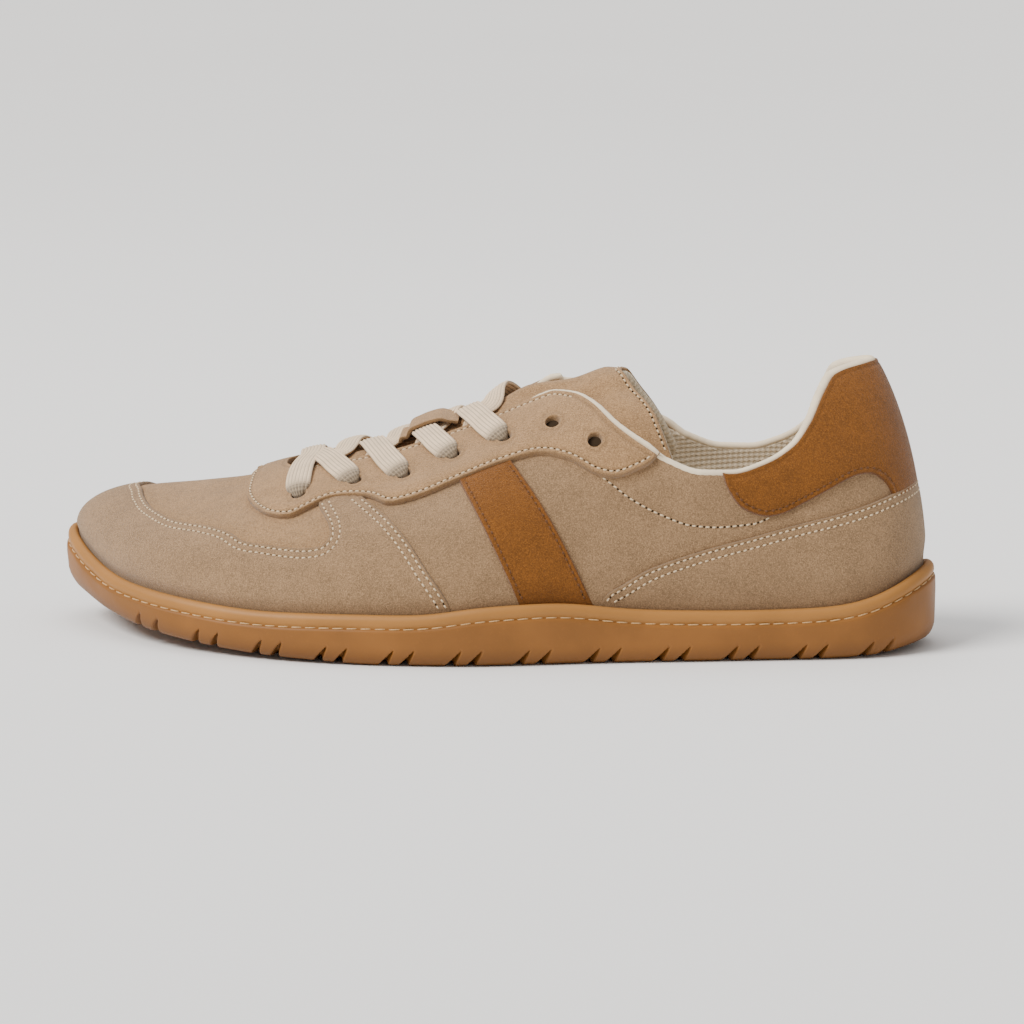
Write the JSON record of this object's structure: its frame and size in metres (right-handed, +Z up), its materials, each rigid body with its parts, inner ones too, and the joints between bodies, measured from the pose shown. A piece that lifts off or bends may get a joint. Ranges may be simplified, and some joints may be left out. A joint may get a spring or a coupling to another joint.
{
  "type": "barefoot shoe",
  "caption": "Low lace-up barefoot shoe for the left foot: hollow suede upper with toe guard, lace panel, side band and heel tab on a flat gum rubber cup sole.",
  "frame": {"origin": "middle of the sole's length and width, on the floor", "axes": "+X from heel to toe, +Y to the outer side of the foot, +Z up"},
  "size_m": [0.275, 0.1044, 0.088],
  "materials": {
    "gum_rubber": "satin moulded gum rubber, lighter along the welt",
    "suede": "brushed beige suede with a short nap",
    "suede_warm": "brushed warm beige suede with a short nap",
    "suede_brown": "brushed ochre brown suede with a short nap",
    "cotton": "flat woven cream cotton with lengthwise ribs",
    "footbed": "cream knitted lining cloth"
  },
  "bodies": {
    "root": {"outsole": "gum_rubber", "insole": "footbed", "upper": "suede", "tongue": "suede_warm", "mudguard": "suede", "eyestay": "suede_warm", "saddle_band_outer": "suede_brown", "saddle_band_inner": "suede_brown", "foxing": "suede", "heel_tab": "suede_brown", "lace_keeper": "suede_warm", "lace_bar": "cotton", "lace_crossing_1": "cotton", "lace_crossing_2": "cotton", "lace_crossing_3": "cotton", "lace_crossing_4": "cotton"}
  },
  "joints": []
}
